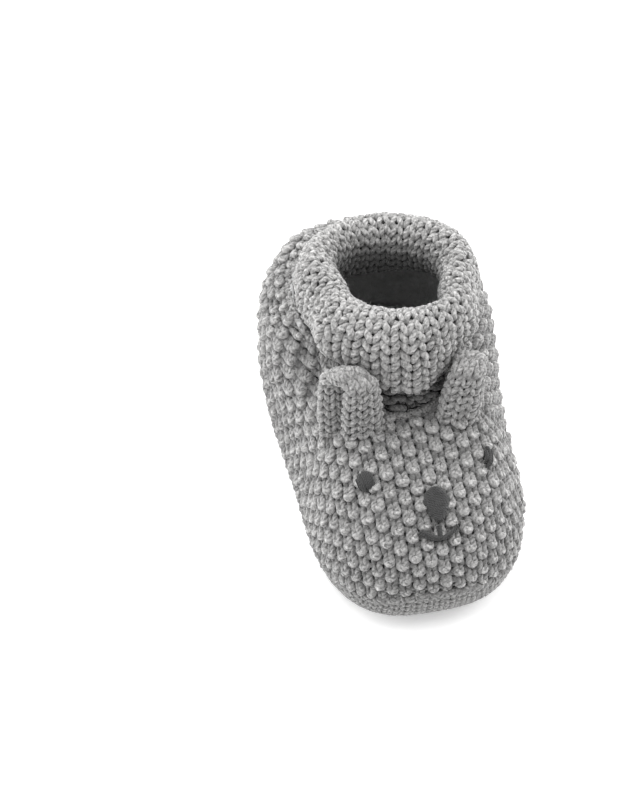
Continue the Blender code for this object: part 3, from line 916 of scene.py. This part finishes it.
def earLine(spread, height):
    baseHalf, topHalf = spread / 2, spread / 2 * ears["opening"]
    straight = height - topHalf
    heights = np.linspace(-ears["root"], straight, 12)[:-1]
    share = np.maximum(heights / straight, 0)
    halves = baseHalf + (topHalf - baseHalf) * share * (2 - share)
    turn = np.linspace(0, math.pi, 25)
    arch = np.stack([-topHalf * np.cos(turn), straight + topHalf * np.sin(turn)], axis=1)
    leg = np.stack([halves, heights], axis=1)
    return np.concatenate([leg * np.array([-1, 1]), arch, leg[::-1]])


def earTable(place, perWale, thinner):
    x, y, facing, apart, spread, height, lean, sway = place
    base = instepPoint(x, y)
    turn, apart, lean, sway = (math.radians(value) for value in (facing, apart, lean, sway))
    upwards = unit(np.array([math.sin(sway), math.sin(lean), math.cos(lean)]))
    across = np.array([math.cos(turn), math.sin(turn), 0])
    across = unit(across - upwards * (across @ upwards))
    ahead = np.cross(across, upwards)
    line = earLine(spread * math.cos(apart - turn), height)
    middle = base + np.outer(line[:, 0], ahead) + np.outer(line[:, 1], upwards)
    along = lengths(middle)
    grid = np.arange(0, along[-1], ears["grid"])
    middle = alongLine(middle, along, grid)
    slide = np.interp(grid, along, line[:, 0] * math.tan(apart - turn))
    rise = np.clip(np.interp(grid, along, line[:, 1]) / height, 0, 1)
    width = ears["widthBase"] + (ears["widthTop"] - ears["widthBase"]) * rise ** 2
    outward = unit(np.cross(np.gradient(middle, axis=0), across))
    middle = middle + np.outer(slide, across)
    half = ears["thick"] / 2 - thinner
    count = ears["wales"] * perWale
    table = np.zeros((len(grid), count, 3))
    turns = np.linspace(0, math.tau, 96, endpoint=False)
    flat = np.sign(np.cos(turns)) * np.abs(np.cos(turns)) ** ears["edgePower"]
    full = np.sign(np.sin(turns)) * np.abs(np.sin(turns)) ** ears["facePower"]
    full = np.where(full > 0, full * (half + ears["fuller"]), full * half)
    for k in range(len(grid)):
        ring = middle[k] + np.outer(flat * (width[k] / 2 - thinner), across) + np.outer(full, outward[k])
        ring = np.concatenate([ring, ring[:1]])
        girth = lengths(ring)
        table[k] = alongLine(ring, girth, np.linspace(0, girth[-1], count, endpoint=False))
    return table, middle, grid


def knitEar(name):
    stitch, perWale = ears["stitch"], ears["perWale"]
    table, middle, grid = earTable(ears["places"][name], perWale, ears["yarnIn"])
    drape = newDrape(table, 0.0, 1 / perWale, 0.0, ears["grid"], True, outward=lambda p: p - middle[:, None])
    runs = []
    for row in range(int(grid[-1] / stitch["course"]) + 1):
        layCourse(runs, drape, stitch, row, 0, ears["wales"], plainFace, None, True)
    yarnPiece(name + "_stockinette", runs, finishes["ear"], [name])
    ears[name] = runs
    # the core behind the yarn is dark pile, painted shade between the stitches
    core = earTable(ears["places"][name], ears["corePoints"], ears["coreIn"])[0][::ears["coreEvery"]]
    bm = bmesh.new()
    loops, edges = ringLoops(bm, core)
    bmesh.ops.bridge_loops(bm, edges=edges)
    for loop in (loops[0], loops[-1]):
        bm.faces.new(loop)
    bmesh.ops.recalc_face_normals(bm, faces=bm.faces)
    addPiece(name + "_core", meshFrom(bm, name + "_core"), finishes["cuffShadePile"], [name])


for earName in ears["places"]:
    knitEar(earName)


# rope-like edges: the sewn seam round the sole and the bound edge of the throat
seams = {
    # depth: how much painted shade the chains' yarn gets, as if down in the fabric
    "pitch": 3.9, "swing": 0.75, "lift": 0.45, "yarn": 0.78, "steps": 16, "loose": 0.08, "depth": 0.6,
    "rays": 150, "heights": (3.0, 24.0, 0.25), "soleIn": 0.5, "soleUp": 0.4,
    "throatBelow": 0.6, "throatIn": 1.9,
    "throatFront": (0.0, -12.9, 42.3), "throatFacing": (0.0, -0.5, 0.85),
}


def seamRing():
    # the top of the sole's turned-up edge
    ring = []
    for turn in np.linspace(0, math.tau, seams["rays"], endpoint=False):
        way = Vector((math.sin(turn), -math.cos(turn), 0))
        last = None
        for height in np.arange(*seams["heights"]):
            start = way * fan["out"] + upWay * height
            place, normal, face, distance = shellTree.ray_cast(start, -way, fan["out"])
            if place is not None and face >= upperTriangles:
                last = place
        ring.append(tuple(last))
    return np.array(ring)


def chainRuns(ring, outward, upward):
    # two strands that cross over each other along a closed line
    closedRing = np.concatenate([ring, ring[:1]])
    along = lengths(closedRing)
    count = int(round(along[-1] / seams["pitch"])) * seams["steps"]
    at = np.linspace(0, along[-1], count, endpoint=False)
    line = alongLine(closedRing, along, at)
    out = alongLine(np.concatenate([outward, outward[:1]]), along, at)
    up = alongLine(np.concatenate([upward, upward[:1]]), along, at)
    phase = math.tau * np.arange(count) / seams["steps"]
    runs = []
    for side in (1, -1):
        sway = side * seams["swing"] * np.sin(phase)
        lift = seams["lift"] * np.cos(2 * phase) * side
        points = line + up * sway[:, None] + out * lift[:, None] + wobble(count, 6, seams["loose"])
        runs.append((points, out, np.full(count, seams["yarn"]), np.full(count, seams["depth"]), True))
    return runs


def easedRing(ring, rounds):
    # a closed line made smoother, and its direction
    for _ in range(rounds):
        ring = (np.roll(ring, 1, 0) + 2 * ring + np.roll(ring, -1, 0)) / 4
    return ring, unit(np.roll(ring, -1, 0) - np.roll(ring, 1, 0))


def sewSeams():
    ring, way = easedRing(seamRing(), 3)
    out = unit(np.stack([way[:, 1], -way[:, 0], np.zeros(len(ring))], axis=1))
    up = np.tile(np.array(upWay), (len(ring), 1))
    runs = chainRuns(ring - out * seams["soleIn"] + up * seams["soleUp"], out, up)
    yarnPiece("sole_seam", runs, finishes["seam"], ["upper"])

    places, normals, _ = onDrape(upper["sides"], upper["tops"] - seams["throatBelow"], upper["halfRows"])
    places, normals = places[1:-1:2], normals[1:-1:2]
    ring, way = easedRing(np.concatenate([[seams["throatFront"]], places - normals * seams["throatIn"]]), 2)
    out = np.concatenate([[seams["throatFacing"]], normals])
    runs = chainRuns(ring, out, np.cross(way, out))
    yarnPiece("throat_edge", runs, finishes["upper"], ["upper"])


sewSeams()


# face: satin threads laid side by side over the knitting
face = {
    "thread": 0.32, "pitch": 0.45, "jitter": 0.12,
    "root": 0.9,                # how deep the ends of a thread go in
    "points": 9, "above": 12.0, "below": 28.0,
    # how far threads arch, and lie off the knitting
    "top": (0.6, 0.5), "underlay": (0.25, 0.2), "stroked": (0.55, 0.45),
    "eyes": {"eye_left": (4.7, 5.6), "eye_right": (2.0, 6.2)}, "nose": (7.8, 9.0),
    # share of the nose's width, from its top to its point
    "noseShape": ((0, 0.08, 0.2, 0.36, 0.58, 0.8, 1), (0.2, 0.5, 0.8, 1, 0.86, 0.54, 0.22)),
    "mouthHalf": 5.0, "mouthRise": 2.4, "mouthLow": -1.6, "stem": 3.4, "stroke": 1.0,
}


def nodeMiddle(name):
    low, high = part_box(name)
    return (Vector(low) + Vector(high)) / 2 / mm


def faceFrame(name):
    place, normal, index, distance = shellTree.find_nearest(nodeMiddle(name))
    toewards = (aheadWay - normal * aheadWay.dot(normal)).normalized()
    right = normal.cross(toewards)
    if right.x < 0:
        right = -right
    return place, right, toewards, normal


def pressed(origin, right, toewards, normal, x, y, lift):
    # a point over the knitting at x across and y up the face
    start = origin + right * x - toewards * y + normal * face["above"]
    place, way, index, distance = shellTree.ray_cast(start, -normal, face["above"] + face["below"])
    return np.array(place + normal * lift)


def threadRun(seat, start, end, heights, bulge=1.0):
    crown, base = heights
    points = []
    for t in np.linspace(0, 1, face["points"]):
        arch = math.sqrt(max(0.0, 1 - (2 * t - 1) ** 4))
        lift = -face["root"] + (crown * bulge + base + face["root"]) * arch
        x, y = (a + (b - a) * t for a, b in zip(start, end))
        points.append(pressed(*seat, x, y, lift))
    count = len(points)
    normals = np.tile(np.array(seat[3]), (count, 1))
    return np.array(points), normals, np.full(count, face["thread"]), np.ones(count), False


def stitchFace():
    def jitter():
        return float(dice.normal(0, face["jitter"]))

    def sewn(name, runs):
        yarnPiece(name + "_stitches", runs, finishes["thread"], [name])

    for name, size in face["eyes"].items():
        seat = faceFrame(name)
        wide, tall = size[0] / 2, size[1] / 2
        runs = []
        for x in np.arange(-wide + 0.2, wide, face["pitch"]):
            half = tall * math.sqrt(max(0.05, 1 - (x / wide) ** 2))
            bulge = 0.55 + 0.45 * math.sqrt(max(0, 1 - (x / wide) ** 2))
            ends = ((x, -half + jitter()), (x + jitter(), half + jitter()))
            runs += [threadRun(seat, *ends, face[layer], bulge) for layer in ("top", "underlay")]
        sewn(name, runs)
    seat = faceFrame("nose")
    wide, tall = face["nose"][0] / 2, face["nose"][1] / 2
    runs = []
    for y in np.arange(-tall + 0.25, tall, face["pitch"]):
        half = wide * float(np.interp(0.5 - 0.5 * y / tall, *face["noseShape"]))
        ends = ((-half + jitter(), y), (half + jitter(), y + jitter() * 0.5))
        runs += [threadRun(seat, *ends, face[layer]) for layer in ("top", "underlay")]
    sewn("nose", runs)
    seat = faceFrame("mouth")
    reach, rise, low, stroke = face["mouthHalf"], face["mouthRise"], face["mouthLow"], face["stroke"] / 2
    runs = []
    for x in np.arange(-reach, reach + 0.1, face["pitch"]):
        y = low + rise * (x / reach) ** 2
        slant = stroke * 2 * rise * x / reach ** 2 - 0.3
        runs.append(threadRun(seat, (x + slant, y - stroke), (x - slant, y + stroke), face["stroked"]))
    for y in np.arange(low + stroke, low + face["stem"], face["pitch"]):
        runs.append(threadRun(seat, (-stroke, y - 0.2), (stroke, y + 0.2), face["stroked"]))
    sewn("mouth", runs)


stitchFace()


# grip dots: low rubber drops pressed into the knitting of the sole
dots = {
    "sides": 28,
    # out from the middle and up from the lowest point, as shares of the radius and height
    "profile": [(0.0, 0.0), (0.55, 0.02), (0.80, 0.10), (0.93, 0.26), (1.0, 0.55), (1.02, 1.0), (1.0, 1.8)],
}


def pourDots():
    names = sorted(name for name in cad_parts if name.startswith("grip_dot"))
    bm = bmesh.new()
    for name in names:
        low, high = (Vector(corner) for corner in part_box(name))
        middle = (low + high) / 2
        radius = (high.x - low.x) / 2
        height = high.z - low.z
        line = [bm.verts.new((middle.x + radius * out, middle.y, low.z + height * up))
                for out, up in dots["profile"]]
        edges = [bm.edges.new(pair) for pair in zip(line, line[1:])]
        bmesh.ops.spin(bm, geom=line + edges, cent=middle, axis=upWay, angle=math.tau,
                       steps=dots["sides"], use_merge=True)
    bmesh.ops.remove_doubles(bm, verts=bm.verts, dist=1e-6)
    rims = [edge for edge in bm.edges if edge.is_boundary]
    bmesh.ops.holes_fill(bm, edges=rims, sides=0)
    bmesh.ops.recalc_face_normals(bm, faces=bm.faces)
    addPiece("grip_dots", meshFrom(bm, "grip_dots"), finishes["rubber"], names)


pourDots()


# fuzz: fine fibre ends that stand off the yarn
fuzz = {"long": 1.4, "short": 0.4, "thick": 0.035, "upper": 16000, "cuff": 5000, "ears": 1800}


def growFuzz(name, runs, count, finish, nodes):
    line, out, radius, depth = (np.concatenate([run[part] for run in runs]) for part in range(4))
    chance = np.clip(depth + 1.15, 0.1, 3)
    pick = dice.choice(len(line), count, p=chance / chance.sum())
    way = unit(dice.normal(0, 1, (count, 3)) + out[pick] * 0.9)
    bend = dice.normal(0, 0.7, (count, 3))
    size = dice.uniform(fuzz["short"], fuzz["long"], count)[:, None]
    root = line[pick] + way * radius[pick][:, None] * 0.8
    middle = root + way * size * 0.5 + bend * size * 0.18
    tip = root + way * size * 0.8 + bend * size * 0.6
    side = unit(np.cross(way, dice.normal(0, 1, (count, 3))))
    other = np.cross(way, side)
    thick = fuzz["thick"] * dice.uniform(0.7, 1.2, count)[:, None]
    points = np.zeros((count, 7, 3))
    for k in range(3):
        turn = math.tau * k / 3
        spoke = side * math.cos(turn) + other * math.sin(turn)
        points[:, k] = root + spoke * thick
        points[:, 3 + k] = middle + spoke * thick * 0.8
    points[:, 6] = tip
    pattern = [(0, 2, 1)] + [(k, (k + 1) % 3, 3 + (k + 1) % 3, 3 + k) for k in range(3)]
    pattern += [(3 + k, 3 + (k + 1) % 3, 6) for k in range(3)]
    faces = [tuple(7 * n + k for k in shape) for n in range(count) for shape in pattern]
    mesh = bpy.data.meshes.new(name)
    mesh.from_pydata(points.reshape(-1, 3) * mm, [], faces)
    mesh.uv_layers.new(name="yarn")
    mesh.attributes.new("depth", "FLOAT", "POINT").data.foreach_set("value", np.ones(count * 7))
    addPiece(name, mesh, finish, nodes)


growFuzz("upper_fuzz", upper["vampRuns"] + upper["sideRuns"], fuzz["upper"], finishes["upper"],
         ["upper"])
growFuzz("cuff_fuzz", cuff["runs"], fuzz["cuff"], finishes["cuff"], ["cuff"])
growFuzz("ear_fuzz", ears["ear_left"] + ears["ear_right"], fuzz["ears"], finishes["ear"],
         ["ear_left", "ear_right"])


# floor and light
room = {
    "floor": 3.0, "paper": (0.9, 0.9, 0.9, 1), "glow": 0.3, "sky": 0.53,
    "target": (0, 0, 0.03),
    # name, place and size in metres, power
    "lights": [("key", (-0.1, 0.16, 1.0), 0.8, 8.0), ("left", (-0.8, 0.15, 0.45), 0.7, 5.4),
               ("right", (0.8, 0.1, 0.5), 0.7, 7.6), ("back", (-0.1, 0.75, 0.75), 0.7, 5.0)],
}


def layFloor():
    bm = bmesh.new()
    bmesh.ops.create_grid(bm, x_segments=1, y_segments=1, size=room["floor"])
    mesh = meshFrom(bm, "floor")
    finish, shader, wire = newFinish("paper", Roughness=0.9, Base_Color=room["paper"],
                                     Emission_Color=(1, 1, 1, 1), Emission_Strength=room["glow"])
    mesh.materials.append(finish)
    floor = bpy.data.objects.new("floor", mesh)
    bpy.context.scene.collection.objects.link(floor)


def hangLight(name, place, size, power):
    data = bpy.data.lights.new(name, "AREA")
    data.size = size
    data.energy = power
    light = bpy.data.objects.new(name, data)
    light.location = place
    light.rotation_euler = (Vector(room["target"]) - Vector(place)).to_track_quat("-Z", "Y").to_euler()
    bpy.context.scene.collection.objects.link(light)


layFloor()
for light in room["lights"]:
    hangLight(*light)
world = bpy.data.worlds.new("room")
world.use_nodes = True
sky = world.node_tree.nodes["Background"].inputs
sky["Color"].default_value = (1, 1, 1, 1)
sky["Strength"].default_value = room["sky"]
bpy.context.scene.world = world
bpy.context.scene.view_settings.view_transform = "Standard"
print("room ready")
